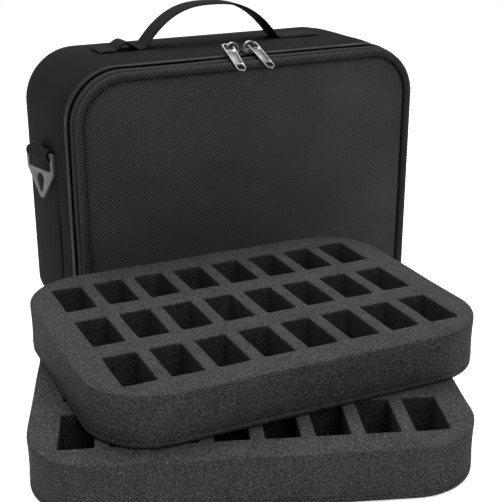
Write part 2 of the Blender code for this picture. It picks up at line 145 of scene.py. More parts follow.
class Shader:
    """A Principled material whose patterns are wired from small procedural steps."""

    def __init__(self, name, roughness, metallic=0.0, space="UV", **sockets):
        self.material = bpy.data.materials.new(name)
        self.material.use_nodes = True
        self.tree = self.material.node_tree
        self.principled = self.tree.nodes["Principled BSDF"]
        self.set(Roughness=roughness, Metallic=metallic)
        for socket, value in sockets.items():
            self.principled.inputs[socket.replace("_", " ")].default_value = value
        coordinates = self.tree.nodes.new("ShaderNodeTexCoord")
        self.place = coordinates.outputs[space]
        split = self.add("ShaderNodeSeparateXYZ", {"Vector": self.place})
        self.u, self.v, self.w = split.outputs

    def set(self, **sockets):
        for socket, value in sockets.items():
            self.feed(self.principled.inputs[socket.replace("_", " ")], value)

    def feed(self, socket, value):
        if isinstance(value, bpy.types.NodeSocket):
            self.tree.links.new(value, socket)
        else:
            socket.default_value = value

    def add(self, kind, inputs=None, **settings):
        node = self.tree.nodes.new(kind)
        for key, value in settings.items():
            setattr(node, key, value)
        for key, value in (inputs or {}).items():
            self.feed(node.inputs[key], value)
        return node

    def math(self, operation, a, b=0.0):
        return self.add("ShaderNodeMath", {0: a, 1: b}, operation=operation).outputs[0]

    def noise(self, scale, detail=2.0, roughness=0.5, stretch=None):
        place = self.place
        if stretch:
            place = self.add("ShaderNodeMapping", {"Vector": place, "Scale": stretch}).outputs[0]
        inputs = {"Vector": place, "Scale": scale, "Detail": detail, "Roughness": roughness}
        return self.add("ShaderNodeTexNoise", inputs).outputs["Fac"]

    def wave(self, value, pitch):
        """Rounded ridges, one for each pitch: 0 in the valleys and 1 on the crests."""
        turned = self.math("MULTIPLY", value, pi / pitch)
        return self.math("ABSOLUTE", self.math("SINE", turned))

    def mix(self, factor, dark, light):
        node = self.add("ShaderNodeMix", data_type="RGBA")
        self.feed(node.inputs["Factor"], factor)
        node.inputs["A"].default_value = (*dark, 1)
        node.inputs["B"].default_value = (*light, 1)
        return node.outputs["Result"]

    def ramp(self, value, low, high):
        inputs = {"Value": value, "From Min": low, "From Max": high}
        return self.add("ShaderNodeMapRange", inputs).outputs["Result"]

    def bump(self, height, distance, strength=1.0):
        inputs = {"Height": height, "Distance": distance, "Strength": strength}
        self.set(Normal=self.add("ShaderNodeBump", inputs).outputs["Normal"])


def grey(level, blue=1.04):
    return level, level, level * blue


def plain_weave(shader, pitch):
    """Threads that pass over and under each other: rounded ridges that change direction."""
    across, along = (shader.math("DIVIDE", value, pitch) for value in (shader.u, shader.v))
    cell = shader.math("ADD", shader.math("FLOOR", across), shader.math("FLOOR", along))
    parity = shader.math("FLOORED_MODULO", cell, 2.0)
    warp, weft = shader.wave(shader.u, pitch), shader.wave(shader.v, pitch)
    change = shader.math("SUBTRACT", weft, warp)
    return shader.math("ADD", warp, shader.math("MULTIPLY", parity, change))


def diamond_weave(shader, pitch_u, pitch_v):
    """Raised lozenges between crossing diagonals."""
    a, b = shader.math("DIVIDE", shader.u, pitch_u), shader.math("DIVIDE", shader.v, pitch_v)
    rising = shader.wave(shader.math("ADD", a, b), 1.0)
    falling = shader.wave(shader.math("SUBTRACT", a, b), 1.0)
    return shader.math("POWER", shader.math("MULTIPLY", rising, falling), 1.6)


def twill(shader, pitch):
    """Steep diagonal ribs with a fine step across each one."""
    rib = shader.wave(shader.math("ADD", shader.u, shader.math("MULTIPLY", shader.v, 0.7)), pitch)
    step = shader.wave(shader.v, pitch * 0.5)
    return shader.math("ADD", shader.math("MULTIPLY", rib, 0.75), shader.math("MULTIPLY", step, 0.25))


def rope_ribs(shader):
    """Ribs that wind round the cord, in step with its geometry."""
    lean = RIB_LEAN * RIB_PITCH / (2 * pi * BINDING_R * CORE_SHARE)
    slanted = shader.math("ADD", shader.u, shader.math("MULTIPLY", shader.v, lean))
    return shader.wave(shader.math("ADD", slanted, RIB_PITCH / 4), RIB_PITCH)


def cloth(name, pattern, dark, light, depth, mottling=0.25):
    """Woven cloth: the colour follows the pattern, with painted shade in its valleys and painted light on
    its crests, and depth as its relief.
    """
    shader = Shader(name, 0.9, Specular_IOR_Level=0.06)
    height = pattern(shader)
    worn = shader.ramp(shader.noise(14.0, 3.0), 0.3, 0.7)
    fading = shader.math("ADD", shader.math("MULTIPLY", worn, mottling), 1.0 - mottling)
    # Painted shade: the colour darkens in the weave's valleys, mixed with random mottling.
    painted_shade_and_mottling = shader.math("MULTIPLY", height, fading)
    shader.set(Base_Color=shader.mix(painted_shade_and_mottling, grey(dark), grey(light)))
    shader.bump(height, depth)
    return shader.material


def foam_material(name, dark, light, speck):
    """Open-cell foam: fine charcoal grain with a few pale specks."""
    shader = Shader(name, 0.95, space="Object", Specular_IOR_Level=0.1)
    grain = shader.noise(760.0, 2.0, 0.65)
    patches = shader.ramp(shader.noise(45.0, 2.0), 0.3, 0.7)
    tone = shader.math("ADD", shader.math("MULTIPLY", shader.ramp(grain, 0.34, 0.66), 0.85),
                       shader.math("MULTIPLY", patches, 0.15))
    pale = shader.math("MULTIPLY", shader.ramp(shader.noise(1000.0, 1.0), 0.69, 0.74), speck)
    level = shader.math("ADD", tone, pale)
    shader.set(Base_Color=shader.mix(level, grey(dark, 1.02), grey(light, 1.02)))
    shader.principled.inputs["Base Color"].links[0].from_node.clamp_factor = False
    shader.bump(grain, 0.0006)
    return shader.material


def nickel_material(name, level, roughness, brushed):
    shader = Shader(name, roughness, 1.0, space="Object", Base_Color=(*grey(level, 1.01), 1))
    scratches = shader.noise(900.0 if brushed else 160.0, 3.0, 0.6)
    worn = shader.ramp(shader.noise(220.0, 3.0), 0.3, 0.75)
    shader.set(Roughness=shader.ramp(worn, -1.2, 3.0) if not brushed else roughness,
               Base_Color=shader.mix(worn, grey(level * 0.8, 1.01), grey(level, 1.01)))
    shader.bump(scratches, 0.0003 if brushed else 0.00006)
    return shader.material


def plastic_material(name, dark, light, roughness, shine=0.5):
    shader = Shader(name, roughness, space="Object", Specular_IOR_Level=shine)
    patches = shader.ramp(shader.noise(55.0, 3.0), 0.3, 0.7)
    shader.set(Base_Color=shader.mix(patches, grey(dark), grey(light)))
    shader.bump(shader.noise(1400.0, 2.0), 0.00012)
    return shader.material


# Each cloth's dark level is painted shade in its weave's or ribs' valleys, and its light level is the
# crests.
PANEL_CLOTH = cloth("panel_cloth", lambda s: diamond_weave(s, 0.0031, 0.0027), 0.001, 0.120, 0.0006)
GUSSET_CLOTH = cloth("gusset_cloth", lambda s: plain_weave(s, 0.0008), 0.003, 0.009, 0.00008)
BAND_CLOTH = cloth("band_cloth", lambda s: plain_weave(s, 0.0007), 0.010, 0.024, 0.00006)
BINDING_CLOTH = cloth("binding_cloth", rope_ribs, 0.001, 0.036, 0.0003)
WEBBING = cloth("webbing", lambda s: twill(s, 0.0016), 0.003, 0.015, 0.0003)
# A lighter copy of the zipper tape's cloth for the rear tape: painted highlight along its edge.
LIT_TAPE_CLOTH = cloth("tape_cloth_painted_highlight", lambda s: plain_weave(s, 0.0006), 0.010, 0.022, 0.00008)
SIDE_WEBBING = cloth("side_webbing", lambda s: twill(s, 0.0016), 0.001, 0.006, 0.0003)
THREAD = cloth("thread", lambda s: twill(s, 0.0005), 0.020, 0.050, 0.00005)
ZIP_NYLON = plastic_material("zip_nylon", 0.016, 0.034, 0.45, 0.15)
RING_PLASTIC = plastic_material("ring_plastic", 0.045, 0.062, 0.46, 0.3)
FOAM = foam_material("tray_foam", 0.006, 0.046, 3.0)
# A darker copy of the tray foam for the pocket walls: painted shade inside the pockets.
SHADED_POCKET_FOAM = foam_material("pocket_foam_painted_shade", 0.004, 0.032, 3.0)
NICKEL = nickel_material("nickel", 0.20, 0.22, False)
NICKEL_PANEL = nickel_material("nickel_panel", 0.13, 0.50, True)


# ---- mesh building -------------------------------------------------------------------------

def finish_piece(name, bm, material, body, replaced, smooth_angle=40):
    """Turn a bmesh into a piece that rides on a body and stands for the named solids."""
    bmesh.ops.recalc_face_normals(bm, faces=bm.faces)
    mesh = bpy.data.meshes.new(name)
    bm.to_mesh(mesh)
    bm.free()
    mesh.shade_smooth()
    mesh.set_sharp_from_angle(angle=radians(smooth_angle))
    mesh.materials.append(material)
    piece = bpy.data.objects.new(name, mesh)
    bpy.context.collection.objects.link(piece)
    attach(piece, body)
    if replaced:
        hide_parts(*replaced)
    return piece


def add_loft(bm, rings, lengths, closed=False, caps=True):
    """Join equal closed rings of points. UVs are in metres: along the loft, and round each ring."""
    uv = bm.loops.layers.uv.get("UVMap") or bm.loops.layers.uv.new("UVMap")
    vertices = [[bm.verts.new(point) for point in ring] for ring in rings]
    middle = rings[len(rings) // 2]
    around = [0.0]
    for a, b in zip(middle, [*middle[1:], middle[0]]):
        around.append(around[-1] + (Vector(b) - Vector(a)).length)
    count, sides = len(rings), len(middle)
    for i in range(count if closed else count - 1):
        k = (i + 1) % count
        for j in range(sides):
            m = (j + 1) % sides
            face = bm.faces.new((vertices[i][j], vertices[k][j], vertices[k][m], vertices[i][m]))
            corners = ((i, j), (i + 1, j), (i + 1, j + 1), (i, j + 1))
            for loop, (a, b) in zip(face.loops, corners):
                loop[uv].uv = (lengths[a], around[b])
    if caps and not closed:
        for ring in (vertices[0], vertices[-1]):
            bm.faces.new(ring)


def outline_at(length):
    """Point and outward direction this far round the case's outline, seen from the front:
    from the middle of the bottom to the right, up, over the top and down the left side."""
    side = CASE_H - CORNER_R - BOTTOM_R
    low, high = HALF_W - BOTTOM_R, HALF_W - CORNER_R
    corners = ((low, low, BOTTOM_R, BOTTOM_R), (side, high, CASE_H - CORNER_R, CORNER_R),
               (2 * high, -high, CASE_H - CORNER_R, CORNER_R), (side, -low, BOTTOM_R, BOTTOM_R))
    rest = length % OUTLINE_LENGTH
    heading = 0.0
    x, z = 0.0, 0.0
    for run, cx, cz, radius in corners:
        if rest <= run:
            break
        rest -= run
        if rest <= pi * radius / 2:
            angle = heading - pi / 2 + rest / radius
            return cx + radius * cos(angle), cz + radius * sin(angle), cos(angle), sin(angle)
        rest -= pi * radius / 2
        heading += pi / 2
        x, z = cx + radius * sin(heading), cz - radius * cos(heading)
    return x + rest * cos(heading), z + rest * sin(heading), sin(heading), -cos(heading)


def stations(step, start=0.0, end=None):
    """Arc lengths at about this step, from start to end, or once round the outline."""
    stop = OUTLINE_LENGTH if end is None else end
    count = ceil((stop - start) / step)
    return [start + (stop - start) * i / count for i in range(count + (end is not None))]


def zip_span():
    """Arc lengths where the zipper starts, low on the right, and ends, low on the left."""
    angle = -asin((BOTTOM_R - ZIP_END_Z) / BOTTOM_R)
    start = HALF_W - BOTTOM_R + BOTTOM_R * (angle + pi / 2)
    return start, OUTLINE_LENGTH - start


def edge_point(length, out, depth):
    x, z, nx, nz = outline_at(length)
    return Vector((x + nx * out, depth_y(depth), z + nz * out))


def sweep(name, lengths, profile, material, body, replaced, closed=False, shape=None):
    """Carry a closed profile of (out, depth) points round the case's edge."""
    bm = bmesh.new()
    rings = []
    for length in lengths:
        ring = []
        for j, (out, depth) in enumerate(profile):
            if shape:
                out, depth = shape(length, j, out, depth)
            ring.append(edge_point(length, out, depth))
        rings.append(ring)
    spans = [*lengths, OUTLINE_LENGTH] if closed else lengths
    add_loft(bm, rings, spans, closed)
    return finish_piece(name, bm, material, body, replaced)


def ripple(x, y, z, size, height):
    """Smooth unevenness of soft cloth, from -height to height."""
    return noise.noise(Vector((x, y, z)) / size) * height


# ---- the fabric case -----------------------------------------------------------------------

def rope_binding(name, inset, body, replaced, facing=1):
    """Edge cord wrapped in tape with slanting ribs."""
    bm = bmesh.new()
    lengths = stations(RIB_PITCH / 6)
    rings = []
    for length in lengths:
        ring = []
        for j in range(BINDING_SIDES):
            turn = 2 * pi * j / BINDING_SIDES
            phase = 2 * pi * length / RIB_PITCH + RIB_LEAN * turn
            radius = BINDING_R * (CORE_SHARE + RIB_SHARE * sin(phase))
            level = BINDING_DEPTH + radius * sin(turn)
            if facing < 0:
                level = CASE_DEPTH - level
            ring.append(edge_point(length, -inset + radius * cos(turn), level))
        rings.append(ring)
    add_loft(bm, rings, [*lengths, OUTLINE_LENGTH], closed=True)
    return finish_piece(name, bm, BINDING_CLOTH, body, replaced, 75)


def fabric_wall(name, lengths, depths, thickness, bulge, material, body, replaced,
                closed=False, front_out=0.0, back_out=0.0):
    """A padded wall round the case: hemmed at both edges and slightly full between them."""
    front, back = depths
    steps = 12
    outer = []
    for j in range(steps + 1):
        share = j / steps
        fullness = bulge * (1 - (2 * share - 1) ** 4)
        hem = 0.0006 * (1 - min(1.0, min(share, 1 - share) * steps * 0.8))
        outer.append((front_out + (back_out - front_out) * share + fullness - hem,
                      front + (back - front) * share))
    inner = [(back_out - thickness, back), (front_out - thickness, front)]

    def shape(length, j, out, depth):
        if j > steps:
            return out, depth
        x, z, _, nz = outline_at(length)
        standing = min(1.0, max(0.0, 1.0 + nz * 1.6))    # 0 under the case, where the wall lies flat
        share = (depth - front) / (back - front)
        soft = max(0.0, 1 - (2 * share - 1) ** 4)
        out = out * standing if nz < 0 else out
        return out + standing * soft * ripple(x, depth, z, 0.055, 0.0009), depth

    return sweep(name, lengths, [*outer, *inner], material, body, replaced, closed, shape)


def padded_plate(name, rim, back_depth, material, body, replaced, crown, facing=1, waviness=0.0):
    """A plate with the case's outline. rim lists (inset, depth) from the face's edge to the tucked
    one, and the face swells by crown towards its middle."""
    bm = bmesh.new()
    uv = bm.loops.layers.uv.new("UVMap")
    lengths = stations(PLATE_STEP)
    shares = (0.08, 0.2, 0.32, 0.44, 0.56, 0.68, 0.79, 0.89)
    middle = Vector((0, 0, CASE_H / 2))

    def place(point, depth, swell):
        x, z = point.x, point.z
        level = depth - swell * crown + swell * ripple(x, 3.0, z, 0.045, waviness)
        y = depth_y(level) if facing > 0 else depth_y(CASE_DEPTH - level)
        return Vector((x, y, z))

    face_inset, face_depth = rim[0]
    rings = []
    for share in shares:
        ring = []
        for length in lengths:
            edge = edge_point(length, -face_inset, 0)
            ring.append(place(middle + (edge - middle) * share, face_depth, 1 - share ** 4))
        rings.append(ring)
    for inset, depth in rim:
        rings.append([place(edge_point(length, -inset, 0), depth, 0) for length in lengths])
    rings.append([place(edge_point(length, -rim[-1][0], 0), back_depth, 0) for length in lengths])
    vertices = [[bm.verts.new(point) for point in ring] for ring in rings]
    for inner, outer in zip(vertices, vertices[1:]):
        for i in range(len(inner)):
            k = (i + 1) % len(inner)
            bm.faces.new((inner[i], inner[k], outer[k], outer[i]))
    bm.faces.new(vertices[0])
    bm.faces.new(vertices[-1])
    for face in bm.faces:
        for loop in face.loops:
            loop[uv].uv = (loop.vert.co.x, loop.vert.co.z)
    return finish_piece(name, bm, material, body, replaced)


def build_case_fabric():
    fabric_wall("body_wall", stations(WALL_STEP), BODY_WALL, WALL_T, 0.0012, GUSSET_CLOTH,
                "case", ["body_gusset"], closed=True)
    start, end = zip_span()
    below = stations(WALL_STEP, end - OUTLINE_LENGTH + 0.002, start - 0.002)
    fabric_wall("hinge_wall", below, HINGE_WALL, WALL_T, 0.0, GUSSET_CLOTH,
                "case", ["hinge_gusset"])
    rope_binding("rear_binding_cord", BINDING_DEPTH, "case", ["rear_binding"], facing=-1)
    rope_binding("front_binding_cord", FRONT_BINDING_INSET, "lid", ["front_binding"])
    fabric_wall("lid_wall", stations(WALL_STEP, start, end), LID_WALL, LID_WALL_T, 0.0013, BAND_CLOTH,
                "lid", ["lid_band"], front_out=-0.0034, back_out=-0.0024)
    face = [(0.0270, 0.0022), (0.0220, 0.0023), (0.0180, 0.0026), (0.0150, 0.0031), (0.0131, 0.0039),
            (0.0120, 0.0050), (0.0116, 0.0058), (0.0098, 0.0070)]
    padded_plate("front_panel", face, PANEL_BACK, PANEL_CLOTH, "lid", ["lid_panel"],
                 crown=0.0012, waviness=0.0007)
    back_face = [(inset - BACK_GROWTH, depth) for inset, depth in face]
    padded_plate("rear_panel", back_face, PANEL_BACK, GUSSET_CLOTH, "case", ["back_panel"],
                 crown=0.0012, facing=-1, waviness=0.0007)
    pad = [(0.0200, 0.0080), (0.0160, 0.0083), (0.0140, 0.0090), (0.0134, 0.0102)]
    lid_pad = padded_plate("lid_pad", pad, PAD_BACK, FOAM, "lid", ["lid_foam_pad"],
                           crown=0.0002)
    case_pad = padded_plate("case_pad", pad, PAD_BACK, FOAM, "case", ["back_foam_pad"],
                            crown=0.0002, facing=-1)


# ---- zipper --------------------------------------------------------------------------------

def build_teeth(name, side, body, replaced):
    """A row of coil teeth: short rounded bars across the zipper that reach past its middle."""
    bm = bmesh.new()
    start, end = zip_span()
    offset = 0.25 if side < 0 else 0.75        # the two rows interlock
    count = floor((end - start) / TOOTH_PITCH)
    root, tip = ZIP_DEPTH + side * 0.0036, ZIP_DEPTH - side * 0.0003
    for n in range(count):
        length = start + (n + offset) * TOOTH_PITCH
        rings = []
        for share, size in ((0, 0.45), (0.12, 0.9), (0.8, 1.0), (0.95, 0.85), (1, 0.4)):
            depth = root + (tip - root) * share
            ring = []
            for k in range(6):
                turn = 2 * pi * k / 6
                ring.append(edge_point(length + 0.00055 * size * cos(turn),
                                       -0.0009 + 0.0009 * size * sin(turn), depth))
            rings.append(ring)
        add_loft(bm, rings, [0, 0.0005, 0.0025, 0.003, 0.0035])
    return finish_piece(name, bm, ZIP_NYLON, body, replaced, 70)


def build_zipper():
    start, end = zip_span()
    lengths = stations(WALL_STEP, start, end)
    # The two tapes are one cloth in two tones. The front tape, low in the gap under the band, wears the
    # dark gusset cloth as painted shade, and the rear tape wears the lighter copy as painted highlight.
    for name, node, body, near, far, low, high, painted_tone in (
            ("zip_tape_front", "zipper_tape_front", "lid", 0.0196, 0.0154, -0.0036, -0.0028, GUSSET_CLOTH),
            ("zip_tape_rear", "zipper_tape_rear", "case", 0.0268, 0.0300, -0.0020, -0.0006, LIT_TAPE_CLOTH)):
        profile = [(high, near), (high, far), (low, far), (low, near)]
        sweep(name, lengths, profile, painted_tone, body, [node])
    build_teeth("zip_teeth_front", -1, "lid", ["zipper_teeth_front"])
    build_teeth("zip_teeth_rear", 1, "case", ["zipper_teeth_rear"])


def modelled(name, build, material, body, replaced, place=None, bevel=0.0002, segments=2):
    """Make a hard piece from a first solid and boolean cutters, and round its edges."""
    solid, changes = build()
    for other, operation in changes:
        modifier = solid.modifiers.new("shape", "BOOLEAN")
        modifier.object, modifier.operation, modifier.solver = other, operation, "EXACT"
    rounding = solid.modifiers.new("edges", "BEVEL")
    rounding.width, rounding.segments, rounding.limit_method = bevel, segments, "ANGLE"
    rounding.angle_limit = radians(28)
    bpy.context.view_layer.update()
    evaluated = solid.evaluated_get(bpy.context.evaluated_depsgraph_get())
    bm = bmesh.new()
    bm.from_mesh(evaluated.to_mesh())
    evaluated.to_mesh_clear()
    for old in (solid, *(other for other, _ in changes)):
        bpy.data.objects.remove(old)
    if place:
        bm.transform(place)
    return finish_piece(name, bm, material, body, replaced, 50)


def prism(outline, low, high, axis="Z"):
    """A temporary solid: a flat outline of (a, b) points extruded from low to high."""
    bm = bmesh.new()
    rings = []
    for level in (low, high):
        rings.append([bm.verts.new((a, b, level) if axis == "Z" else (a, level, b)) for a, b in outline])
    for i in range(len(outline)):
        k = (i + 1) % len(outline)
        bm.faces.new((rings[0][i], rings[0][k], rings[1][k], rings[1][i]))
    bm.faces.new(rings[0])
    bm.faces.new(rings[1])
    bmesh.ops.recalc_face_normals(bm, faces=bm.faces)
    mesh = bpy.data.meshes.new("solid")
    bm.to_mesh(mesh)
    bm.free()
    solid = bpy.data.objects.new("solid", mesh)
    bpy.context.collection.objects.link(solid)
    return solid


def rounded_box(left, right, low, high, radius, steps=5):
    points = []
    for x, y, start in ((right - radius, low + radius, -pi / 2), (right - radius, high - radius, 0),
                        (left + radius, high - radius, pi / 2), (left + radius, low + radius, pi)):
        for i in range(steps + 1):
            angle = start + pi / 2 * i / steps
            points.append((x + radius * cos(angle), y + radius * sin(angle)))
    return points


def arc(x, y, radius, start, end, steps):
    return [(x + radius * cos(radians(start + (end - start) * i / steps)),
             y + radius * sin(radians(start + (end - start) * i / steps))) for i in range(steps + 1)]


def build_slider(side):
    """Slider with a smooth arched crown along the zipper, over the pull's eye."""
    low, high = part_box(f"slider_{side}")
    x = (low.x + high.x) / 2
    y = depth_y(ZIP_DEPTH)
    sign = 1 if side == "left" else -1

    def body():
        plan = [(0.0073, 0.0026), (0.0050, 0.0050), (-0.0030, 0.0050), (-0.0066, 0.0034),
                (-0.0073, 0.0020), (-0.0073, -0.0020), (-0.0066, -0.0034), (-0.0030, -0.0050),
                (0.0050, -0.0050), (0.0073, -0.0026)]
        plate = prism([(x + sign * a, y + b) for a, b in plan], CASE_H + 0.0004, SLIDER_TOP)
        waist = prism([(x + a, y + b) for a, b in rounded_box(-0.02, 0.02, -0.0016, 0.0016, 0.0005)],
                      CASE_H, CASE_H + 0.0014)
        return plate, [(waist, "DIFFERENCE")]

    modelled(f"slider_{side}_body", body, NICKEL, "slider_" + side, [f"slider_{side}"],
             bevel=0.0006, segments=3)

    bm = bmesh.new()
    rings, lengths = [], []
    half, rise, steps = 0.0060, 0.0079, 24
    for i in range(steps + 1):
        turn = pi * i / steps
        cx, cz = half * cos(turn), rise * sin(turn) ** 0.75
        nx, nz = cos(turn) / half, sin(turn) / rise
        size = hypot(nx, nz)
        nx, nz = nx / size, nz / size
        ring = []
        for k in range(10):
            around = 2 * pi * k / 10
            ring.append(Vector((x + cx + nx * 0.0011 * cos(around), y - 0.0006 + 0.0017 * sin(around),
                                SLIDER_TOP - 0.0006 + cz + nz * 0.0011 * cos(around))))
        rings.append(ring)
        lengths.append(0.001 * i)
    add_loft(bm, rings, lengths)
    finish_piece(f"slider_{side}_crown", bm, NICKEL, "slider_" + side, [], 60)


def pull_outline():
    """Tapered tab with rounded ends. The hinge line is at the origin and the tip towards -Y."""
    top = [(x, min(y * 0.55, 0.0026)) for x, y in arc(0, 0.0002, 0.0058, 0, 180, 10)]
    tip = arc(0, -PULL_LENGTH + 0.0048, 0.0046, 180, 360, 10)
    return [*top, *tip]


def recess_outline(trim=0.0):
    """The sunk panel in a pull's face, drawn in by trim."""
    half_top, half_tip = 0.0047 - trim, 0.0040 - trim
    top, tip = -0.0108 - trim, -0.0290 + trim
    return [(-half_top, top), (half_top, top), (half_tip, tip), (-half_tip, tip)]


def build_pull(side):
    joint = JOINTS[f"pull_{side}_swing"]
    axis = Vector(joint["axis"])
    skew = atan2(-axis.y, -axis.x)
    place = (Matrix.Translation(joint["pos_m"]) @ Matrix.Rotation(skew, 4, "Z")
             @ Matrix.Rotation(PULL_TILT, 4, "X"))

    def tab():
        plate = prism(pull_outline(), -PULL_T / 2, PULL_T / 2)
        eye = prism(rounded_box(-0.0042, 0.0042, -0.0072, 0.0012, 0.0020), -THROUGH, THROUGH)
        tip_hole = prism(rounded_box(-0.0036, 0.0036, -0.0387, -0.0302, 0.0026), -THROUGH, THROUGH)
        front = prism(recess_outline(), 0.0005, THROUGH)
        back = prism(recess_outline(), -THROUGH, -0.0005)
        slot = prism(rounded_box(-0.0019, 0.0019, -0.0096, -0.0085, 0.0005), -THROUGH, THROUGH)
        return plate, [(cutter, "DIFFERENCE") for cutter in (eye, tip_hole, front, back, slot)]

    modelled(f"pull_{side}_tab", tab, NICKEL, "pull_" + side, [f"pull_{side}"], place, 0.00022)

    def inlay():
        return prism(recess_outline(0.0001), -0.0006, 0.0006), []

    modelled(f"pull_{side}_inlay", inlay, NICKEL_PANEL, "pull_" + side, [], place, 0.00005, 1)


# ---- webbing -------------------------------------------------------------------------------

def ribbon_ring(centre, side, out, width, thickness):
    """Cross-section of flat webbing with soft edges."""
    half, t = width / 2, thickness / 2
    shape = ((-half, 0), (-half + t * 0.6, t * 0.85), (-half * 0.5, t), (0, t), (half * 0.5, t),
             (half - t * 0.6, t * 0.85), (half, 0), (half - t * 0.6, -t * 0.85), (half * 0.5, -t), (0, -t),
             (-half * 0.5, -t), (-half + t * 0.6, -t * 0.85))
    return [centre + side * a + out * b for a, b in shape]


def ribbon(bm, path, side, width, thickness):
    """Webbing along a path of points, flat across the side direction."""
    lengths, rings = [0.0], []
    for i, point in enumerate(path):
        if i:
            lengths.append(lengths[-1] + (point - path[i - 1]).length)
        ahead, behind = path[min(i + 1, len(path) - 1)], path[max(i - 1, 0)]
        out = (ahead - behind).normalized().cross(side).normalized()
        rings.append(ribbon_ring(point, side, out, width, thickness))
    add_loft(bm, rings, lengths)


def smooth_path(points, per_span=8):
    """A Catmull-Rom curve through the points."""
    path = []
    for i in range(len(points) - 1):
        p0, p1 = points[max(i - 1, 0)], points[i]
        p2, p3 = points[i + 1], points[min(i + 2, len(points) - 1)]
        for k in range(per_span):
            t = k / per_span
            path.append(0.5 * (2 * p1 + (p2 - p0) * t + (2 * p0 - 5 * p1 + 4 * p2 - p3) * t * t
                               + (3 * p1 - p0 - 3 * p2 + p3) * t ** 3))
    return [*path, points[-1]]


def add_stitches(bm, path, up, length=0.0026, gap=0.0012, radius=0.00035):
    """Short threads laid end to end along a path of points."""
    spans = [0.0]
    for a, b in zip(path, path[1:]):
        spans.append(spans[-1] + (b - a).length)

    def at(distance):
        for i in range(len(path) - 1):
            if distance <= spans[i + 1] or i == len(path) - 2:
                share = (distance - spans[i]) / max(spans[i + 1] - spans[i], 1e-9)
                return path[i].lerp(path[i + 1], min(1.0, max(0.0, share)))
        return path[-1]

    begin = gap / 2
    while begin + length <= spans[-1]:
        first, last = at(begin), at(begin + length)
        along = (last - first).normalized()
        side = along.cross(up).normalized()
        rings = []
        for share, size in ((0, 0.35), (0.15, 0.9), (0.5, 1.05), (0.85, 0.9), (1, 0.35)):
            centre = first.lerp(last, share)
            rings.append([centre + side * radius * size * cos(2 * pi * k / 6)
                          + up * radius * size * sin(2 * pi * k / 6) for k in range(6)])
        add_loft(bm, rings, [length * share for share in (0, 0.15, 0.5, 0.85, 1)])
        begin += length + gap


def handle_path(low_z, steps=48):
    """The arch's centre line above this height, from the left foot to the right."""
    points = []
    for i in range(steps + 1):
        across = sin(pi * (i / steps - 0.5))
        z = CASE_H + HANDLE_RISE * (1 - abs(across) ** HANDLE_ROUNDNESS)
        if z >= low_z:
            points.append(Vector((HANDLE_MID_X + HANDLE_HALF_SPAN * across, HANDLE_Y, z)))
    return points


def build_handle():
    across = Vector((0, 1, 0))
    bm = bmesh.new()
    foot_z = CASE_H + 0.0022
    path = [Vector((HANDLE_MID_X - HANDLE_HALF_SPAN, HANDLE_Y, foot_z)), *handle_path(foot_z + 0.002),
            Vector((HANDLE_MID_X + HANDLE_HALF_SPAN, HANDLE_Y, foot_z))]
    ribbon(bm, path, across, WEB_W, WEB_T)
    arch = finish_piece("handle_strap", bm, WEBBING, "handle", ["handle_webbing"], 60)
    arch.parent = None
    del arch["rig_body"]
    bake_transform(arch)

    top = CASE_H + 0.0006 + WEB_T / 2
    left = smooth_path([Vector((x, HANDLE_Y, top + z)) for x, z in (
        (-0.1280, 0.0004), (-0.1200, 0.0012), (-0.1110, 0.0012), (-0.1060, 0.0056), (-0.1000, 0.0080),
        (-0.0930, 0.0046), (-0.0870, 0.0006), (-0.0830, 0.0012))])
    right = smooth_path([Vector((x, HANDLE_Y, top + z)) for x, z in (
        (0.0670, 0.0012), (0.0710, 0.0004), (0.0860, 0.0004), (0.1000, 0.0004), (0.1140, 0.0002))])
    for side, path in (("left", left), ("right", right)):
        bm = bmesh.new()
        ribbon(bm, path, across, WEB_W, WEB_T)
        finish_piece(f"handle_end_{side}", bm, WEBBING, "case", [f"handle_root_{side}"], 60)

    up = Vector((0, 0, 1))
    for side, first, last, lift in (("left", -0.1255, -0.1130, 0.0012), ("right", 0.0760, 0.1110, 0.0004)):
        z = top + WEB_T / 2 + lift + 0.0001
        half = WEB_W / 2 - 0.0030
        corners = [Vector((x, HANDLE_Y + y, z)) for x, y in (
            (first, -half), (last, -half), (last, half), (first, half), (first, -half), (last, half))]
        corners += [Vector((last, HANDLE_Y - half, z)), Vector((first, HANDLE_Y + half, z))]
        bm = bmesh.new()
        for a, b in ((0, 1), (1, 2), (2, 3), (3, 4), (4, 5), (6, 7)):
            add_stitches(bm, [corners[a], corners[b]], up)
        finish_piece(f"handle_stitches_{side}", bm, THREAD, "case", [], 60)


# ---- side webbing and strap rings ----------------------------------------------------------

def build_side_strip(side, sign):
    """Wide webbing up the side and round its lower edge, stitched along both of its own edges."""
    low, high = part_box(f"side_strip_{side}")
    middle_y = (low.y + high.y) / 2
    flat = HALF_W - BOTTOM_R
    top_length = flat + BOTTOM_R * pi / 2 + high.z - BOTTOM_R
    low_angle = -asin((BOTTOM_R - low.z) / BOTTOM_R)
    low_length = flat + BOTTOM_R * (low_angle + pi / 2)
    out = 0.0011
    path, edges = [], ([], [])
    for length in stations(0.005, low_length, top_length):
        point = edge_point(length, out, 0)
        path.append(Vector((sign * point.x, middle_y, point.z)))
        outer = edge_point(length, out + 0.0009, 0)
        for rail, y in zip(edges, (low.y + 0.0022, high.y - 0.0022)):
            rail.append(Vector((sign * outer.x, y, outer.z)))
    bm = bmesh.new()
    ribbon(bm, path, Vector((0, 1, 0)), high.y - low.y, 0.0017)
    finish_piece(f"side_webbing_{side}", bm, SIDE_WEBBING, "case", [f"side_strip_{side}"], 60)
    bm = bmesh.new()
    for rail in edges:
        add_stitches(bm, rail, Vector((sign, 0, 0)))
    finish_piece(f"side_stitches_{side}", bm, THREAD, "case", [], 60)


def ring_frame(side, sign):
    """Local X along the ring's bar, local -Y out from the case, local Z up."""
    joint = JOINTS[f"ring_{side}_swing"]
    axis = Vector(joint["axis"])
    along = Vector((axis.x, axis.y, 0))
    outward = Vector((sign * abs(axis.y), -abs(axis.x), 0))
    up = Vector((0, 0, 1))
    return Matrix.Translation(joint["pos_m"]) @ Matrix((along, -outward, up)).transposed().to_4x4()


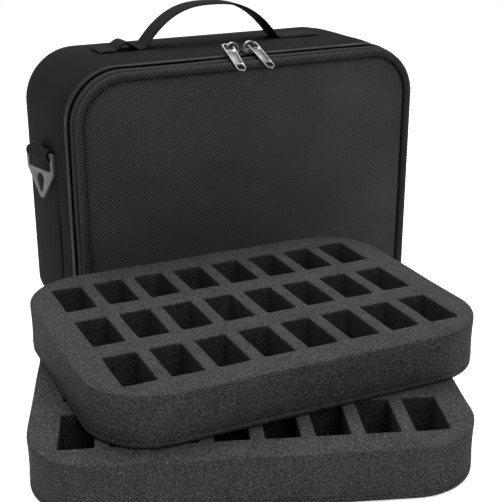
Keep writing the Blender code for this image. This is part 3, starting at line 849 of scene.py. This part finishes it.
def build_ring(side, sign):
    """Flat ring with a slot for its webbing and an egg-shaped hole for a hook."""
    place = ring_frame(side, sign)
    half = RING_HALF_W

    def plate():
        outline = [(half - 0.0034, 0.0022), (half - 0.0008, 0.0016), (half, -0.0006), (half, -0.0180)]
        outline += arc(0, RING_FOOT + 0.0053, 0.0053, -28, -152, 8)
        outline += [(-half, -0.0180), (-half, -0.0006), (-half + 0.0008, 0.0016), (-half + 0.0034, 0.0022)]
        slot = rounded_box(-0.0196, 0.0196, -0.0156, -0.0022, 0.0012)
        hole = arc(0, -0.0262, 0.0062, 0, 180, 12) + arc(0, -0.0350, 0.0034, 180, 360, 10)
        cutters = [(prism(cut, -THROUGH, THROUGH, "Y"), "DIFFERENCE") for cut in (slot, hole)]
        return prism(outline, -RING_T / 2, RING_T / 2, "Y"), cutters

    modelled(f"ring_{side}_plate", plate, RING_PLASTIC, "ring_" + side, [f"strap_ring_{side}"],
             place, 0.0005, 3)

    build_ring_webbing(side, sign, place)


def build_ring_webbing(side, sign, place):
    """Webbing folded over the ring's bar. Its back lies on the case's side, whatever the ring's twist."""
    steps = 12
    bm = bmesh.new()
    rings, lengths = [], []
    for i in range(steps + 1):
        along = LOOP_W / 2 * (2 * i / steps - 1)
        bar = place @ Vector((along, 0, 0))
        wall = (bar.x - sign * (HALF_W + 0.0009)) / -place.col[1].x
        path = smooth_path([Vector((y, z, 0)) for y, z in (
            (wall, -0.0250), (wall, -0.0100), (wall, -0.0020), (0.4 * wall + 0.0016, 0.0028),
            (0.0000, 0.0040), (-0.0028, 0.0030), (-0.0039, 0.0004), (-0.0038, -0.0024),
            (-0.0020, -0.0048), (0.0010, -0.0058), (wall - 0.0014, -0.0070))], 4)
        outer, inner = [], []
        for k, point in enumerate(path):
            ahead, behind = path[min(k + 1, len(path) - 1)], path[max(k - 1, 0)]
            slope = (ahead - behind).normalized() * (LOOP_T / 2)
            outer.append(place @ Vector((along, point.x - slope.y, point.y + slope.x)))
            inner.append(place @ Vector((along, point.x + slope.y, point.y - slope.x)))
        rings.append([*outer, *reversed(inner)])
        lengths.append(along)
    add_loft(bm, rings, lengths)
    finish_piece(f"ring_{side}_webbing", bm, WEBBING, "case", [f"strap_loop_{side}"], 60)


# ---- foam trays ----------------------------------------------------------------------------

def soft_outline(points, bulge):
    """Outline points moved out or in by bulge along their normals."""
    moved = []
    for i, (x, y) in enumerate(points):
        (ax, ay), (bx, by) = points[i - 1], points[(i + 1) % len(points)]
        nx, ny = by - ay, ax - bx
        size = hypot(nx, ny) or 1
        moved.append((x + nx / size * bulge, y + ny / size * bulge))
    return moved


def resample(points, step):
    """Even points round a closed outline."""
    found = []
    for i, (ax, ay) in enumerate(points):
        bx, by = points[(i + 1) % len(points)]
        parts = max(1, round(hypot(bx - ax, by - ay) / step))
        found += [(ax + (bx - ax) * k / parts, ay + (by - ay) * k / parts) for k in range(parts)]
    return found


def build_foam(level, place, body, seed):
    """Thick cut foam: rounded top edges, walls that pull in slightly, and 24 punched pockets."""
    low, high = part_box(f"{level}_tray_pockets")
    foam_h = high.z - low.z
    profile = ((0.0, 0.0006), (0.0016, 0.0), (foam_h * 0.3, 0.0005), (foam_h * 0.6, 0.0005),
               (foam_h - 0.0030, 0.0), (foam_h - 0.0012, 0.0002), (foam_h - 0.0003, 0.0007),
               (foam_h, 0.0015))           # height, inset
    x0, y0, turn = place
    world = Matrix.Translation((x0, y0, low.z)) @ Matrix.Rotation(turn, 4, "Z")

    def uneven(x, y, z):
        shift_x = noise.noise(Vector((x, y, seed)) * 30)
        shift_y = noise.noise(Vector((y, x, seed + 7)) * 30)
        lift = noise.noise(Vector((x, y, seed + 3)) * 22) * 0.0006 if z > foam_h * 0.9 else 0.0
        shift = Vector((shift_x, shift_y, 0)) * 0.0005
        return world @ (Vector((x, y, z - 0.0004)) + shift + Vector((0, 0, lift)))

    bm = bmesh.new()
    outer = resample(rounded_box(-TRAY_W / 2, TRAY_W / 2, -TRAY_D / 2, TRAY_D / 2, TRAY_R, 16), FOAM_STEP)
    walls = [[soft_outline(outer, -inset) for _, inset in profile]]
    for row in range(POCKET_ROWS):
        for column in range(POCKET_COLUMNS):
            cx = (column - (POCKET_COLUMNS - 1) / 2) * COLUMN_PITCH
            cy = (row - (POCKET_ROWS - 1) / 2) * ROW_PITCH
            pocket = resample(rounded_box(cx - POCKET_W / 2, cx + POCKET_W / 2, cy - POCKET_D / 2,
                                          cy + POCKET_D / 2, POCKET_R, 2), FOAM_STEP)
            walls.append([soft_outline(pocket, inset * 0.6) for _, inset in profile])
    tops, bottoms = [], []
    for wall in walls:
        loops = [[bm.verts.new(uneven(x, y, z)) for x, y in loop] for loop, (z, _) in zip(wall, profile)]
        for band, (lower, upper) in enumerate(zip(loops, loops[1:])):
            for i in range(len(lower)):
                k = (i + 1) % len(lower)
                face = bm.faces.new((lower[i], lower[k], upper[k], upper[i]))
                # Pocket walls below the rounded rim take the darker foam: painted shade inside the
                # pockets.
                face.material_index = int(wall is not walls[0] and band < 5)
        bottoms.append(loops[0])
        tops.append(loops[-1])
    for rims in (tops, bottoms):
        edges = []
        for rim in rims:
            edges += [bm.edges.get((rim[i], rim[(i + 1) % len(rim)])) for i in range(len(rim))]
        bmesh.ops.triangle_fill(bm, use_beauty=True, use_dissolve=False, edges=edges)
    foam = finish_piece(f"{level}_tray_foam", bm, FOAM, body, [f"{level}_tray_pockets"], 50)
    foam.data.materials.append(SHADED_POCKET_FOAM)

    low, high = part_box(f"{level}_tray_base")
    base_t = high.z - low.z
    rings = []
    bm = bmesh.new()
    for z, inset in ((0.0, 0.0012), (0.0008, 0.0002), (base_t * 0.5, 0.0), (base_t - 0.0006, 0.0002),
                     (base_t, 0.0009)):
        rings.append([world @ Vector((x, y, low.z + z)) - Vector((0, 0, world.translation.z))
                      for x, y in soft_outline(outer, -inset)])
    add_loft(bm, rings, [0, 0.001, 0.003, 0.004, 0.005])
    base = finish_piece(f"{level}_tray_sheet", bm, FOAM, body, [f"{level}_tray_base"], 50)


# ---- studio --------------------------------------------------------------------------------

def build_studio():
    """Pale floor, even surroundings and three soft lamps."""
    scene = bpy.context.scene
    floor_shader = Shader("studio_floor", 0.9, space="Object", Emission_Color=(1, 1, 1, 1),
                          Emission_Strength=0.2)
    floor_shader.set(Base_Color=floor_shader.mix(floor_shader.noise(3.0), (0.86, 0.86, 0.86),
                                                 (0.88, 0.88, 0.88)))
    mesh = bpy.data.meshes.new("floor")
    half = 6.0
    mesh.from_pydata([(-half, -half, 0), (half, -half, 0), (half, half, 0), (-half, half, 0)], [],
                     [(0, 1, 2, 3)])
    mesh.materials.append(floor_shader.material)
    floor_piece = bpy.data.objects.new("floor", mesh)
    scene.collection.objects.link(floor_piece)

    world = bpy.data.worlds.new("studio")
    world.use_nodes = True
    background = world.node_tree.nodes["Background"]
    background.inputs["Color"].default_value = (1, 1, 1, 1)
    background.inputs["Strength"].default_value = 0.34
    scene.world = world
    scene.view_settings.view_transform = "Standard"

    for name, place, aim, size, power in (
            ("key", (-0.2, -2.4, 1.9), (0, -0.1, 0.1), 1.6, 34),
            ("fill", (2.2, -1.0, 1.4), (0, -0.1, 0.1), 1.8, 3),
            ("top", (0.0, 0.2, 2.4), (0, -0.1, 0.0), 2.2, 125)):
        light = bpy.data.lights.new(name, "AREA")
        light.energy, light.size = power, size
        lamp = bpy.data.objects.new(name, light)
        lamp.location = place
        lamp.rotation_euler = (Vector(aim) - Vector(place)).to_track_quat("-Z", "Y").to_euler()
        scene.collection.objects.link(lamp)


def build_camera():
    look_down, look_right = 20.69, 27.61       # degrees, from level and from +Y
    camera = bpy.data.cameras.new("camera")
    camera.lens, camera.sensor_width = 75.1, 36.0
    eye = bpy.data.objects.new("camera", camera)
    eye.location = (-0.4599, -0.9410, 0.4428)
    eye.rotation_euler = (radians(90 - look_down), 0, -radians(look_right))
    bpy.context.scene.collection.objects.link(eye)
    bpy.context.scene.camera = eye


# ---- build ---------------------------------------------------------------------------------

build_camera()
build_studio()
build_case_fabric()
build_zipper()
for name in ("left", "right"):
    build_slider(name)
    build_pull(name)
build_handle()
for name, direction in (("left", -1), ("right", 1)):
    build_side_strip(name, direction)
    build_ring(name, direction)
build_foam("lower", LOWER_TRAY, "lower_tray", 11)
build_foam("upper", UPPER_TRAY, "upper_tray", 23)
